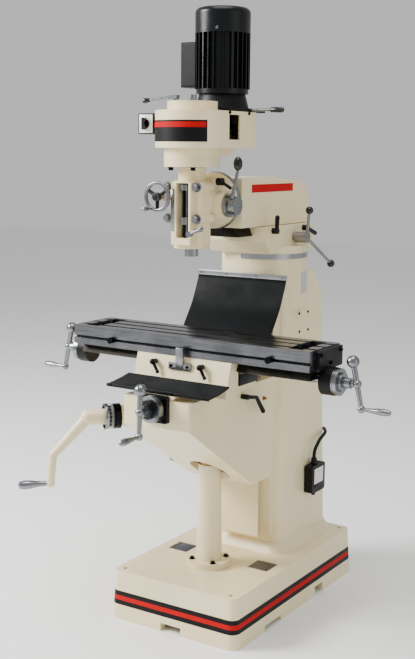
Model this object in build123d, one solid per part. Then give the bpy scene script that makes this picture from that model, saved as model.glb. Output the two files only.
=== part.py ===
from build123d import *
from math import atan2, cos, degrees, hypot, pi, radians, sin, tan
import os

# Vertical knee milling machine, millimetres.
# Origin: middle of the floor bolt pattern. +Z up, operator stands at -Y, table runs along X.

# Clearances
run_clear = 0.05        # shaft in its bearing, radial
slide_clear = 0.3       # faces that slide past each other
air_gap = 0.5           # parts that only pass near each other

# Base casting
base_width = 508.0
base_depth = 864.0
base_height = 170.0
base_lean = 3.7         # degrees that each side leans in
base_wall = 18.0
base_top_wall = 25.0
base_corner = 34.0
anchor_x = 424.0        # hole spacing
anchor_y = 786.0
anchor_hole = 17.0
boss_radius = 26.0
screen_size = 80.0
screen_offset_x = 165.0
screen_y = -110.0
screen_depth = 4.0

# Column
column_bottom_half_width = 168.0
column_bottom_half_depth = 182.0
column_center_y = 202.0
column_lean = 1.8
column_corner = 50.0
column_body_top = 1080.0
column_top = 1213.0
column_wall = 28.0
neck_radius = 153.0
neck_y = 156.0
neck_bore = 60.0
way_root_half = 80.0
way_face_half = 98.0
way_depth = 32.0
way_pad_y = 2.0
way_pad_half = 127.0
way_bottom = 235.0
way_top = 1082.0

# Elevating screw and its pedestal
screw_y = -195.0
pedestal_top = 530.0
pedestal_top_radius = 38.0
pedestal_foot_radius = 45.0
pedestal_bore = 22.0
pedestal_flange_radius = 75.0
pedestal_flange = 22.0
nut_length = 68.0
nut_flange = 18.0
nut_flange_radius = 34.0
lift_screw_radius = 16.0
lift_screw_bottom = 245.0

# Knee
knee_half_width = 129.0
knee_front = -515.0
knee_back = 0.0
knee_top = 813.0
knee_front_bottom = 722.0
knee_bottom = 457.0
knee_bottom_front = -125.0
knee_wall = 19.0
knee_arch_radius = 68.0
knee_way_height = 16.0
knee_way_top_half = 72.0
knee_way_root_half = 60.0
knee_slot_half = 32.0
knee_slot_bottom = 772.0
crank_angle = -131.0    # direction of the knee crank shaft, degrees from +X
crank_z = 715.0
crank_shaft_radius = 14.0
crank_boss_radius = 36.0
crank_boss_end = 313.0
knee_dial_radius = 42.0
knee_dial_length = 56.0
knee_crank_radius = 214.0
knee_grip_length = 92.0
bevel_small = 24.0
bevel_large = 48.0
bevel_inner = 0.62      # inner end of the teeth, as a share of the outer end
pinion_teeth = 12
wheel_teeth = 24
tooth_depth = 4.0
lift_bearing_depth = 28.0

# Saddle and cross feed
saddle_half_width = 182.0
saddle_rear_half = 150.0
saddle_front = -362.0
saddle_skirt = 33.0     # how far the front wall leans out at its foot
saddle_back = -150.0
saddle_step_y = -318.0
cross_x = 8.0
cross_z = 790.0
cross_screw_radius = 12.0
cross_journal_radius = 9.0
cross_bracket_size = 90.0
cross_bracket_thick = 16.0
dial_radius = 43.0
dial_length = 18.0

# Table and longitudinal feed
table_length = 914.0
table_width = 204.0
table_thick = 65.0
table_top = 989.0
table_y = -256.0
table_way_height = 32.0
table_way_bottom_half = 74.0
table_way_root_half = 62.0
tee_slot_width = 16.0
tee_slot_depth = 30.0
tee_head_width = 27.0
tee_head_height = 12.0
tee_pitch = 58.0
stop_slot_z = 950.0
stop_slot_height = 9.0
stop_slot_depth = 12.0
feed_z = 886.0
feed_screw_radius = 12.0
feed_journal_radius = 10.0
bracket_plate = 14.0
bracket_radius = 45.0
bracket_depth = 26.0
crank_throw = 76.0
crank_tilt = 12.0       # degrees that a ball crank leans out of its plane

# Turret, ram and head adapter
turret_radius = 153.0
turret_disc = 46.0
turret_top = 1331.0
turret_half_width = 118.0
turret_front = -45.0
turret_back = 305.0
turret_pivot_radius = 59.5
ram_half_width = 85.0
ram_bottom = 1333.0
ram_top = 1499.0
ram_front = -150.0
ram_back = 335.0
ram_way_height = 30.0
ram_way_top_half = 52.0
ram_way_bottom_half = 66.0
ram_way_back = 362.0
pinion_y = 156.0
pinion_z = 1289.0
pinion_radius = 12.0
ram_pinion_teeth = 12
head_z = 1424.0
adapter_radius = 94.0
adapter_depth = 34.0

# Electrics on the column
lead_x = 180.0
lead_y = 232.0
lead_radius = 6.5

# Head
spindle_y = -318.0
quill_radius = 43.0
quill_bottom = 1277.0
quill_top = 1480.0
barrel_radius = 57.0
neck_radius_head = 44.0
head_bottom = 1276.0
head_top = 1532.0
head_left = -48.0
head_right = 62.0
head_front = -366.0
head_rear = -290.0
pad_left = -31.0
pad_right = 45.0
pad_front = -392.0
pad_bottom = 1290.0
clamp_x = 55.0
clamp_low = 1372.0
clamp_high = 1472.0
clamp_boss_radius = 14.0
selector_y = -277.0
selector_z = 1488.0
selector_pivot = 7.0
nose_bottom = 1249.0
nose_radius = 22.0
spindle_radius = 20.0
taper_bore = 12.07
gear_radius = 90.0
gear_bottom = 1534.0
belt_bottom = 1593.0
belt_top = 1709.0
belt_wall = 6.0
belt_half_width = 116.0
belt_front_radius = 118.0
cap_radius = 80.0
cap_top = 1738.0
motor_y = -142.0
motor_radius = 88.0
fin_reach = 2.5
fin_count = 28
motor_bottom = 1768.0
motor_top = 1960.0
fan_top = 2042.0
tension_travel = 10.0
feed_hub_y = -255.0
feed_hub_z = 1413.0
feed_pinion_radius = 19.7
feed_pinion_teeth = 20
wheel_x = -66.0
wheel_y = -410.0
wheel_z = 1440.0
wheel_radius = 49.0
depth_x = 12.0
depth_y = -392.0
depth_screw_radius = 5.0


def block(x0, x1, y0, y1, z0, z1):
    return Pos((x0 + x1) / 2, (y0 + y1) / 2, (z0 + z1) / 2) * Box(x1 - x0, y1 - y0, z1 - z0)


def rod_x(radius, x0, x1, y, z):
    return Pos((x0 + x1) / 2, y, z) * Rot(0, 90, 0) * Cylinder(radius, abs(x1 - x0))


def rod_y(radius, y0, y1, x, z):
    return Pos(x, (y0 + y1) / 2, z) * Rot(90, 0, 0) * Cylinder(radius, abs(y1 - y0))


def rod_z(radius, z0, z1, x=0.0, y=0.0):
    return Pos(x, y, (z0 + z1) / 2) * Cylinder(radius, abs(z1 - z0))


def strut(start, end, radius0, radius1):
    a = Vector(*start)
    b = Vector(*end)
    length = (b - a).length
    frame = Plane(origin=a, z_dir=(b - a)).location
    if abs(radius0 - radius1) < 0.01:
        return frame * (Pos(0, 0, length / 2) * Cylinder(radius0, length))
    return frame * (Pos(0, 0, length / 2) * Cone(radius0, radius1, length))


def ball(radius, point):
    return Pos(*point) * Sphere(radius)


def prism_x(points, x0, x1):
    face = make_face(Polyline(*[(0, y, z) for y, z in points], close=True))
    return Pos(x0, 0, 0) * extrude(face, x1 - x0, dir=(1, 0, 0))


def prism_y(points, y0, y1):
    face = make_face(Polyline(*[(x, 0, z) for x, z in points], close=True))
    return Pos(0, y0, 0) * extrude(face, y1 - y0, dir=(0, 1, 0))


def prism_z(points, z0, z1):
    face = make_face(Polyline(*[(x, y, 0) for x, y in points], close=True))
    return Pos(0, 0, z0) * extrude(face, z1 - z0, dir=(0, 0, 1))


def rounded_post(half_x, half_y, corner, x, y, z0, height, lean):
    sketch = Pos(x, y, z0) * RectangleRounded(2 * half_x, 2 * half_y, corner)
    return extrude(sketch, height, taper=lean)


def along_crank(t, z=crank_z):
    angle = radians(crank_angle)
    return (t * cos(angle), screw_y + t * sin(angle), z)


def cut_teeth_straight(shape, axis_point, direction, radius, length, teeth, depth):
    # Grooves along a shaft gear: direction is the shaft direction, radius the pitch radius.
    frame = Plane(origin=axis_point, z_dir=direction).location
    width = pi * radius / teeth
    groove = block(radius - depth, radius + 2, -width / 2, width / 2, -1, length + 1)
    return shape - [frame * Rot(0, 0, 360 / teeth * i) * groove for i in range(teeth)]


def cut_teeth_bevel(shape, apex, direction, small, large, reach, teeth, depth):
    # Grooves down the face of a bevel gear whose cone starts at apex and opens along direction.
    frame = Plane(origin=apex, z_dir=direction).location
    tilt = degrees(atan2(large, reach))
    slant = hypot(large, reach)
    width = pi * large / teeth * 0.8
    groove = Rot(0, tilt, 0) * block(-depth, 6, -width / 2, width / 2, slant * (small - 0.12), slant * 1.3)
    return shape - [frame * Rot(0, 0, 360 / teeth * i) * groove for i in range(teeth)]


def save(name, shape):
    export_step(shape, f"parts/{name}.step")


def grip_profile(length, radius, neck):
    # Outline of a turned machine handle, from the neck at 0 to the round end at length.
    return [(0, 0), (neck, 0), (neck, length * 0.12), (radius * 0.8, length * 0.42),
            (radius, length * 0.7), (radius * 0.75, length * 0.93), (0, length)]


def turned_grip(length, radius, neck):
    points = grip_profile(length, radius, neck)
    side = Spline(*[(x, 0, z) for x, z in points[2:6]])
    line = Line((points[0][0], 0, 0), (points[1][0], 0, 0))
    wall = Line((points[1][0], 0, 0), (points[2][0], 0, points[2][1]))
    tip = Line((points[5][0], 0, points[5][1]), (0, 0, length))
    axis = Line((0, 0, length), (0, 0, 0))
    return revolve(make_face(Curve() + [line, wall, side, tip, axis]), axis=Axis.Z)


def ball_crank(point, outward, throw, tilt):
    # Ball crank in its own frame: outward is the unit shaft direction, arm hangs along -Z.
    x, y, z = point
    dx, dy = outward
    reach = throw * tan(radians(tilt))
    top = (x - dx * reach, y - dy * reach, z + throw * 0.9)
    low = (x + dx * reach, y + dy * reach, z - throw)
    body = strut(top, low, 9.5, 7.5) + ball(20.0, top) + ball(14.0, (x, y, z)) + ball(12.5, low)
    grip = turned_grip(94.0, 11.0, 6.0)
    frame = Plane(origin=low, z_dir=(dx, dy, 0)).location
    return body + frame * (Pos(0, 0, 6) * grip)


# ---- floor-standing castings ----

def make_base():
    half_x = base_width / 2
    half_y = base_depth / 2
    lean_in = base_height * tan(radians(base_lean))
    body = rounded_post(half_x, half_y, base_corner, 0, 0, 0, base_height, base_lean)
    inner_x = half_x - lean_in - base_wall
    inner_y = half_y - lean_in - base_wall
    body -= block(-inner_x, inner_x, -inner_y, inner_y, -1, base_height - base_top_wall)
    for sx in (-1, 1):
        for sy in (-1, 1):
            x, y = sx * anchor_x / 2, sy * anchor_y / 2
            body += rod_z(boss_radius, 0, base_height - 1, x, y)
            body -= rod_z(anchor_hole / 2, -1, base_height + 1, x, y)
    body -= block(-40, 40, -half_y - 1, half_y + 1, -1, 28)
    for y0, y1, height in ((-240, -130, 18), (123, 183, 33)):
        body -= block(-half_x - 1, half_x + 1, y0, y1, -1, height)
    for sx in (-1, 1):
        x = sx * screen_offset_x
        half = screen_size / 2
        body -= block(x - half, x + half, screen_y - half, screen_y + half,
                      base_height - screen_depth, base_height + 1)
        body -= block(x - half + 10, x + half - 10, screen_y - half + 10, screen_y + half - 10,
                      base_height - base_top_wall - 1, base_height)
    body -= rod_z(pedestal_bore + 10, base_height - base_top_wall - 1, base_height + 1, 0, screw_y)
    return body


def make_column():
    z0 = base_height
    height = column_body_top - z0
    body = rounded_post(column_bottom_half_width, column_bottom_half_depth, column_corner,
                        0, column_center_y, z0, height, column_lean)
    foot = rounded_post(column_bottom_half_width + 26, column_bottom_half_depth + 22, column_corner + 20,
                        0, column_center_y, z0, 44, 32)
    shoulder_in = height * tan(radians(column_lean))
    shoulder = rounded_post(column_bottom_half_width - shoulder_in,
                            column_bottom_half_depth - shoulder_in, column_corner - 20,
                            0, column_center_y, column_body_top, 82, 21)
    body += foot + shoulder + rod_z(neck_radius, column_body_top - 40, column_top, 0, neck_y)
    pad = block(-way_pad_half, way_pad_half, way_pad_y, 70, way_bottom, way_top)
    way = prism_z([(-way_root_half, way_pad_y + 1), (-way_root_half, way_pad_y),
                   (-way_face_half, way_pad_y - way_depth), (way_face_half, way_pad_y - way_depth),
                   (way_root_half, way_pad_y), (way_root_half, way_pad_y + 1)], way_bottom, way_top)
    body += pad + way
    hollow = extrude(Pos(0, column_center_y + 18, z0 - 1) * Rectangle(
        2 * (column_bottom_half_width - column_wall), 2 * (column_bottom_half_depth - column_wall - 18)),
        height - 40, taper=column_lean)
    body -= hollow
    body -= rod_z(neck_bore, column_body_top - 60, column_top + 1, 0, neck_y)
    return body


def make_pedestal():
    z0 = base_height
    tube = Pos(0, screw_y, (z0 + pedestal_top) / 2) * Cone(
        pedestal_foot_radius, pedestal_top_radius, pedestal_top - z0)
    tube += rod_z(pedestal_flange_radius, z0, z0 + pedestal_flange, 0, screw_y)
    tube -= rod_z(pedestal_bore, z0 - 1, pedestal_top + 1, 0, screw_y)
    return tube


def make_lift_nut():
    nut = rod_z(pedestal_bore - run_clear, pedestal_top + nut_flange - nut_length, pedestal_top, 0, screw_y)
    nut += rod_z(nut_flange_radius, pedestal_top, pedestal_top + nut_flange, 0, screw_y)
    return nut - rod_z(lift_screw_radius + run_clear, 0, 2 * pedestal_top, 0, screw_y)


def make_lift_screw():
    top = crank_z + bevel_small
    bearing_top = top + 3 + lift_bearing_depth - 2
    screw = rod_z(lift_screw_radius, lift_screw_bottom, top, 0, screw_y)
    gear_low = crank_z + bevel_small * bevel_inner
    gear = Pos(0, screw_y, (gear_low + top) / 2) * Cone(bevel_large * bevel_inner, bevel_large,
        top - gear_low)
    gear = cut_teeth_bevel(gear, (0, screw_y, crank_z), (0, 0, 1), bevel_inner, bevel_large, bevel_small,
                           wheel_teeth, tooth_depth)
    return screw + gear + rod_z(lift_screw_radius + 4, top, bearing_top, 0, screw_y)


# ---- knee ----

def make_knee():
    outline = [(knee_back, knee_top), (knee_front, knee_top), (knee_front, knee_front_bottom),
               (knee_bottom_front, knee_bottom), (knee_back, knee_bottom)]
    body = prism_x(outline, -knee_half_width, knee_half_width)
    body = fillet(body.edges().filter_by(Axis.Z).group_by(Axis.Y)[0], 10)
    wall = knee_wall
    rear = knee_back - way_depth - 2 * wall + 8
    inner_top = knee_slot_bottom
    inner = [(rear, inner_top), (knee_front + wall + 8, inner_top), (knee_front + wall + 8,
        knee_front_bottom + 22),
             (knee_bottom_front - 4, knee_bottom + 26), (rear, knee_bottom + 26)]
    body -= prism_x(inner, -knee_half_width + wall, knee_half_width - wall)
    gear_top = crank_z + bevel_small + 3
    body += block(-knee_half_width + wall - 1, knee_half_width - wall + 1, screw_y - 52, screw_y + 52,
                  gear_top, gear_top + lift_bearing_depth)
    body += prism_y([(-knee_way_root_half, knee_top - 1), (-knee_way_root_half, knee_top),
                     (-knee_way_top_half, knee_top + knee_way_height),
                     (knee_way_top_half, knee_top + knee_way_height),
                     (knee_way_root_half, knee_top), (knee_way_root_half, knee_top - 1)],
                    knee_front + 3, knee_back - way_depth - 6)
    angle_axis = along_crank(150), along_crank(crank_boss_end)
    body += strut(*angle_axis, crank_boss_radius + 4, crank_boss_radius)
    body -= strut(along_crank(60), along_crank(400), crank_shaft_radius + run_clear,
        crank_shaft_radius + run_clear)
    body -= block(-knee_half_width + wall, -20, screw_y - 150, screw_y - 53, crank_z - 44, crank_z + 44)
    body -= block(cross_x - knee_slot_half, cross_x + knee_slot_half, knee_front + 27,
        knee_back - way_depth - 26,
                  knee_slot_bottom, knee_top + knee_way_height + 1)
    body -= rod_z(knee_arch_radius, knee_bottom - 1, crank_z - 40, 0, screw_y)
    body -= rod_z(lift_screw_radius + 4 + run_clear, gear_top - 1, gear_top + lift_bearing_depth - 1, 0,
        screw_y)
    clear = slide_clear
    body -= prism_z([(-way_root_half - clear, way_pad_y), (-way_face_half - clear,
        way_pad_y - way_depth - clear),
                     (way_face_half + clear, way_pad_y - way_depth - clear), (way_root_half + clear,
                     way_pad_y)],
                    knee_bottom - 1, knee_top + knee_way_height + 1)
    body -= rod_y(cross_journal_radius + run_clear, knee_front - 1, knee_front + 40, cross_x, cross_z)
    return body


def make_knee_shaft():
    end = crank_boss_end + knee_dial_length + 20
    start = bevel_large + 14
    shaft = strut(along_crank(start), along_crank(end), crank_shaft_radius, crank_shaft_radius)
    gear = strut(along_crank(bevel_large * bevel_inner), along_crank(bevel_large),
                 bevel_small * bevel_inner - 1.0, bevel_small - 1.0)
    angle = radians(crank_angle)
    gear = cut_teeth_bevel(gear, along_crank(0), (cos(angle), sin(angle), 0), bevel_inner,
                           bevel_small - 1.0, bevel_large, pinion_teeth, tooth_depth)
    return shaft + gear + strut(along_crank(bevel_large), along_crank(start), bevel_small - 6,
        bevel_small - 6)


def make_knee_dial():
    start = crank_boss_end + air_gap
    dial = strut(along_crank(start), along_crank(start + 24), knee_dial_radius, knee_dial_radius)
    dial += strut(along_crank(start + 24), along_crank(start + knee_dial_length - 8),
                  knee_dial_radius - 4, knee_dial_radius - 8)
    return dial - strut(along_crank(0), along_crank(500), crank_shaft_radius, crank_shaft_radius)


def make_knee_crank():
    start = crank_boss_end + knee_dial_length - 6
    hub_end = crank_boss_end + knee_dial_length + 52
    low_z = crank_z - knee_crank_radius
    bend = (537, crank_z - 120)
    arm = strut(along_crank(start), along_crank(hub_end), 26, 25)
    arm += ball(25, along_crank(hub_end))
    arm += strut(along_crank(hub_end), along_crank(bend[0], bend[1]), 20, 14) + ball(14,
        along_crank(bend[0], bend[1]))
    arm += strut(along_crank(bend[0], bend[1]), along_crank(546, low_z), 14, 13) + ball(15,
        along_crank(546, low_z))
    arm -= strut(along_crank(0), along_crank(crank_boss_end + knee_dial_length + 20),
                 crank_shaft_radius, crank_shaft_radius)
    return arm - strut(along_crank(520, low_z), along_crank(600, low_z), 6 + run_clear, 6 + run_clear)


def make_knee_grip():
    low_z = crank_z - knee_crank_radius
    outward = (cos(radians(crank_angle)), sin(radians(crank_angle)), 0)
    frame = Plane(origin=along_crank(546 + 15 + air_gap, low_z), z_dir=outward).location
    grip = frame * turned_grip(knee_grip_length, 15.0, 9.0)
    return grip + strut(along_crank(532, low_z), along_crank(546 + 30, low_z), 6, 6)


def make_knee_lock():
    x = knee_half_width + air_gap
    hub = rod_x(9, x, x + 26, -205, 812 - 30)
    arm = strut((x + 20, -205, 782), (x + 24, -150, 772), 7, 6)
    return hub + arm + strut((x + 24, -150, 772), (x + 24, -104, 716), 6.5, 8) + ball(8, (x + 24, -104,
        716))


# ---- cross feed ----

def make_cross_bracket():
    half = cross_bracket_size / 2
    y1 = knee_front
    y0 = knee_front - cross_bracket_thick
    plate = block(cross_x - half, cross_x + half, y0, y1, cross_z - half - 3, cross_z + half - 6)
    plate = fillet(plate.edges().filter_by(Axis.Y), 6)
    plate += rod_y(26, y0 - 14, y0, cross_x, cross_z)
    return plate - rod_y(cross_journal_radius + run_clear, y0 - 20, y1 + 1, cross_x, cross_z)


def make_cross_screw():
    y0 = knee_front - 98
    screw = rod_y(cross_journal_radius, y0, knee_front + 40, cross_x, cross_z)
    return screw + rod_y(cross_screw_radius, knee_front + 30, knee_back - way_depth - 40, cross_x, cross_z)


def make_cross_dial():
    y1 = knee_front - cross_bracket_thick - 14 - air_gap
    dial = rod_y(dial_radius, y1 - dial_length, y1, cross_x, cross_z)
    dial += rod_y(30, y1 - dial_length - 10, y1 - dial_length, cross_x, cross_z)
    dial += rod_y(18, y1 - dial_length - 30, y1 - dial_length - 10, cross_x, cross_z)
    return dial - rod_y(cross_journal_radius, y1 - 100, y1 + 1, cross_x, cross_z)


def make_cross_crank():
    crank = ball_crank((cross_x, knee_front - 96, cross_z), (0, -1), crank_throw, 3.0)
    return crank - rod_y(cross_journal_radius, knee_front - 98, knee_front, cross_x, cross_z)


# ---- saddle ----

def make_saddle():
    top = table_top - table_thick - slide_clear
    bottom = knee_top + slide_clear
    way_bottom_z = table_top - table_thick - table_way_height
    apron = prism_x([(saddle_front, top), (saddle_front - saddle_skirt, bottom),
                     (saddle_step_y, bottom), (saddle_step_y, top)], -saddle_half_width, saddle_half_width)
    body = apron + block(-saddle_rear_half, saddle_rear_half, saddle_step_y - 1, saddle_back, bottom, top)
    c = slide_clear
    pocket = [(table_y - table_way_root_half - c, top + 1), (table_y - table_way_bottom_half - c,
        way_bottom_z - c),
              (table_y + table_way_bottom_half + c, way_bottom_z - c), (table_y + table_way_root_half + c,
              top + 1)]
    body -= prism_x(pocket, -saddle_half_width - 1, saddle_half_width + 1)
    top_way = knee_top + knee_way_height
    body -= prism_y([(-knee_way_root_half - c, bottom - 1), (-knee_way_top_half - c, top_way + c),
                     (knee_way_top_half + c, top_way + c), (knee_way_root_half + c, bottom - 1)],
                    saddle_front - saddle_skirt - 1, saddle_back + 1)
    body -= rod_x(feed_screw_radius + 8, -saddle_half_width - 1, saddle_half_width + 1, table_y, feed_z)
    return body


def make_feed_nuts():
    top_way = knee_top + knee_way_height
    cross_nut = block(cross_x - 24, cross_x + 24, table_y - 28, table_y + 28, cross_z - 17,
        top_way + slide_clear)
    cross_nut -= rod_y(cross_screw_radius + run_clear, table_y - 40, table_y + 40, cross_x, cross_z)
    feed_nut = rod_x(feed_screw_radius + 8, -45, 45, table_y, feed_z)
    feed_nut -= rod_x(feed_screw_radius + run_clear, -50, 50, table_y, feed_z)
    feed_nut -= block(-50, 50, table_y - 30, table_y + 30,
                      table_top - table_thick - table_way_height - 8, table_top)
    return Compound([cross_nut, feed_nut])


def make_table_lock(x):
    y = saddle_front - 9.5
    pivot = rod_y(8, y - 24, y, x, 903)
    arm = strut((x, y - 18, 903), (x + 19, y - 20, 872), 6, 5)
    return pivot + arm + ball(10, (x, y - 20, 903)) + ball(6.5, (x + 19, y - 20, 872))


# ---- table ----

def make_table():
    half = table_length / 2
    y0, y1 = table_y - table_width / 2, table_y + table_width / 2
    bottom = table_top - table_thick
    body = block(-half, half, y0, y1, bottom, table_top)
    body += prism_x([(table_y - table_way_root_half, bottom + 1), (table_y - table_way_root_half, bottom),
                     (table_y - table_way_bottom_half, bottom - table_way_height),
                     (table_y + table_way_bottom_half, bottom - table_way_height),
                     (table_y + table_way_root_half, bottom), (table_y + table_way_root_half, bottom + 1)],
                    -half + 12, half - 12)
    for i in (-1, 0, 1):
        y = table_y + i * tee_pitch
        body -= block(-half - 1, half + 1, y - tee_slot_width / 2, y + tee_slot_width / 2,
                      table_top - tee_slot_depth, table_top + 1)
        body -= block(-half - 1, half + 1, y - tee_head_width / 2, y + tee_head_width / 2,
                      table_top - tee_slot_depth, table_top - tee_slot_depth + tee_head_height)
    for sx in (-1, 1):
        x = sx * (half - 62)
        body -= block(x - 26, x + 26, y0 + 20, y1 - 20, table_top - 24, table_top + 1)
    body -= block(-half - 1, half + 1, y0 - 1, y0 + stop_slot_depth,
                  stop_slot_z - stop_slot_height / 2, stop_slot_z + stop_slot_height / 2)
    channel = feed_screw_radius + 10
    return body - block(-half, half, table_y - channel, table_y + channel, bottom - table_way_height - 1,
        feed_z + 22)


def make_end_brackets():
    half = table_length / 2
    brackets = []
    for sx in (-1, 1):
        x0, x1 = sorted((sx * (half + air_gap / 5), sx * (half + bracket_plate)))
        plate = block(x0, x1, table_y - 64, table_y + 96, feed_z + 36, table_top - 3)
        plate = fillet(plate.edges().filter_by(Axis.X), 6)
        h0, h1 = sorted((sx * (half + air_gap / 5), sx * (half + bracket_plate + bracket_depth)))
        housing = rod_x(bracket_radius, h0, h1, table_y, feed_z)
        piece = plate + housing
        h0, h1 = sorted((sx * (half - 60), sx * (half + 80)))
        brackets.append(piece - rod_x(feed_journal_radius + run_clear, h0, h1, table_y, feed_z))
    return Compound(brackets)


def make_table_stop(x):
    y = table_y - table_width / 2
    knob = rod_y(11, y - 14, y - air_gap, x, stop_slot_z)
    return knob + block(x - 14, x + 14, y - 4, y + stop_slot_depth - 1,
                        stop_slot_z - stop_slot_height / 2 + slide_clear,
                        stop_slot_z + stop_slot_height / 2 - slide_clear)


def make_table_screw():
    reach = table_length / 2 + 116
    inner = table_length / 2 - 30
    return rod_x(feed_journal_radius, -reach, reach, table_y, feed_z) + rod_x(
        feed_screw_radius, -inner, inner, table_y, feed_z)


def make_table_dials():
    dials = []
    for sx in (-1, 1):
        start = sx * (table_length / 2 + bracket_plate + bracket_depth + air_gap)
        x0, x1 = sorted((start, start + sx * dial_length))
        dial = rod_x(dial_radius, x0, x1, table_y, feed_z)
        x0, x1 = sorted((start, start + sx * (dial_length + 10)))
        dial += rod_x(30, x0, x1, table_y, feed_z)
        x0, x1 = sorted((start, start + sx * (dial_length + 34)))
        dial += rod_x(17, x0, x1, table_y, feed_z)
        dials.append(dial - rod_x(feed_journal_radius, -900, 900, table_y, feed_z))
    return Compound(dials)


def make_table_cranks():
    cranks = []
    for sx in (-1, 1):
        x = sx * (table_length / 2 + 112)
        crank = ball_crank((x, table_y, feed_z), (sx, 0), crank_throw, crank_tilt)
        cranks.append(crank - rod_x(feed_journal_radius, -abs(x) - 4, abs(x) + 4, table_y, feed_z))
    return Compound(cranks)


# ---- way covers ----

def make_front_cover():
    half = 198.0
    y0, y1 = knee_front + 12, saddle_front - 29
    z0, z1 = knee_top + knee_way_height + 2, 849.0
    return prism_x([(y0, z0), (y1 - 60, z0 + 5), (y1, z1), (y1, z1 + 4), (y1 - 62, z0 + 10), (y0,
        z0 + 4)], -half, half)


def make_rear_cover():
    half = 178.0
    top = (-1.0, 1154.0)
    mid = (-46.0, 1062.0)
    low = (saddle_back + 6, 926.0)
    end = (saddle_back + 6, 860.0)
    t = 4.0
    return prism_x([top, (-52, 1050), low, end, (end[0] + t, end[1]), (low[0] + t, low[1] + 1),
                    (-48, 1051), (top[0], top[1] - 8)], -half, half)


# ---- turret and ram ----

def make_turret():
    disc_top = column_top + slide_clear + turret_disc
    body = rod_z(turret_radius, column_top + slide_clear, disc_top, 0, neck_y)
    body += prism_x([(turret_front + 30, disc_top - 20), (turret_front, disc_top + 22), (turret_front,
        turret_top),
                     (turret_back, turret_top), (turret_back, disc_top - 20)],
                    -turret_half_width, turret_half_width)
    body += rod_z(turret_pivot_radius, column_top - 60, column_top + 2, 0, neck_y)
    c = slide_clear
    body -= prism_y([(-ram_way_top_half - c, turret_top + 1), (-ram_way_bottom_half - c,
        turret_top - ram_way_height),
                     (ram_way_bottom_half + c, turret_top - ram_way_height), (ram_way_top_half + c,
                     turret_top + 1)],
                    turret_front - 40, turret_back + 1)
    body -= rod_x(pinion_radius + run_clear, 20, turret_half_width + 1, pinion_y, pinion_z)
    return body - rod_x(pinion_radius + 1, -26, 26, pinion_y, pinion_z)


def make_ram():
    outline = [(ram_front, ram_bottom), (ram_front, ram_top - 4), (ram_front + 190, ram_top),
        (ram_back - 85, ram_top - 14),
               (ram_back - 28, ram_top - 40), (ram_back, ram_top - 92), (ram_back, ram_bottom)]
    body = prism_x(outline, -ram_half_width, ram_half_width)
    low = turret_top - ram_way_height + slide_clear
    body += prism_y([(-ram_way_top_half, ram_bottom + 1), (-ram_way_top_half, turret_top),
                     (-ram_way_bottom_half, low), (ram_way_bottom_half, low),
                     (ram_way_top_half, turret_top), (ram_way_top_half, ram_bottom + 1)],
                    ram_front + 10, ram_way_back)
    body += block(-ram_way_top_half, ram_way_top_half, ram_back - 10, ram_way_back, ram_bottom,
        ram_bottom + 34)
    pitch = 2 * pi * pinion_radius / ram_pinion_teeth
    count = int((ram_way_back - ram_front - 40) / pitch)
    grooves = [block(-26, 26, ram_front + 20 + i * pitch, ram_front + 20 + (i + 0.5) * pitch, low - 1,
        low + 3)
               for i in range(count)]
    return body - grooves


def make_adapter():
    y0 = ram_front - adapter_depth
    disc = rod_y(adapter_radius, y0, y0 + 14, 0, head_z)
    disc += Pos(0, y0 + 14 + (adapter_depth - 14) / 2, head_z) * Rot(-90, 0, 0) * Cone(
        adapter_radius - 6, adapter_radius - 14, adapter_depth - 14)
    return disc


def make_pinion_lever():
    x0, x1 = 24.0, turret_radius + 20
    gear = rod_x(pinion_radius, x0 - 48, x0, pinion_y, pinion_z)
    gear = cut_teeth_straight(gear, (x0 - 48, pinion_y, pinion_z), (1, 0, 0), pinion_radius, 48,
                              ram_pinion_teeth, 3.0)
    shaft = gear + rod_x(pinion_radius, x0, x1, pinion_y, pinion_z)
    shaft += rod_x(19, turret_half_width + air_gap + 8, x1, pinion_y, pinion_z)
    x = x1 - 5
    up = (x + 4, pinion_y + 9, pinion_z + 94)
    down = (x + 30, pinion_y + 134, pinion_z - 100)
    lever = strut((x, pinion_y, pinion_z), up, 5.5, 5.5) + strut((x, pinion_y, pinion_z), down, 5.5, 5.5)
    return shaft + lever + ball(11, up) + ball(11, down)


def make_ram_lock(y, z, handle_x, handle_y, handle_z):
    x = turret_half_width
    hub = rod_x(10, x + air_gap, x + 22, y, z)
    return hub + strut((x + 16, y, z), (x + 16 + handle_x, y + handle_y, z + handle_z), 6.5, 8) + ball(
        8, (x + 16 + handle_x, y + handle_y, z + handle_z))


# ---- head ----

def make_head():
    body = rod_z(barrel_radius, head_bottom, head_top - 42, 0, spindle_y)
    block_top = head_top - 46
    main = block(head_left, head_right, head_front, head_rear, head_bottom + 14, block_top)
    body += fillet(main.edges().filter_by(Axis.Z), 18)
    pad = block(pad_left, pad_right, pad_front, spindle_y, pad_bottom, block_top)
    body += fillet(pad.edges().filter_by(Axis.Z).group_by(Axis.Y)[0], 4)
    for x in (-clamp_x, clamp_x):
        for z in (clamp_low, clamp_high):
            body += rod_y(clamp_boss_radius, head_front - 6, head_rear, x, z)
    body += rod_z(neck_radius_head, head_top - 48, head_top, 0, spindle_y)
    flange_y = ram_front - adapter_depth - slide_clear
    body += rod_y(adapter_radius - 3, flange_y - 24, flange_y, 0, head_z)
    body += Pos(0, (spindle_y + flange_y - 24) / 2, head_z) * Rot(90, 0, 0) * Cone(
        adapter_radius - 4, barrel_radius + 4, flange_y - 24 - spindle_y)
    body += rod_x(45, 30, 96, feed_hub_y, feed_hub_z)
    body += rod_x(selector_pivot + 6, 10, 70, selector_y, selector_z)
    body += rod_y(18, pad_front + 6, head_rear - 10, wheel_x, wheel_z)
    body += rod_y(12, pad_front, head_front + 20, 46, 1326)
    return cut_head(body)


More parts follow.
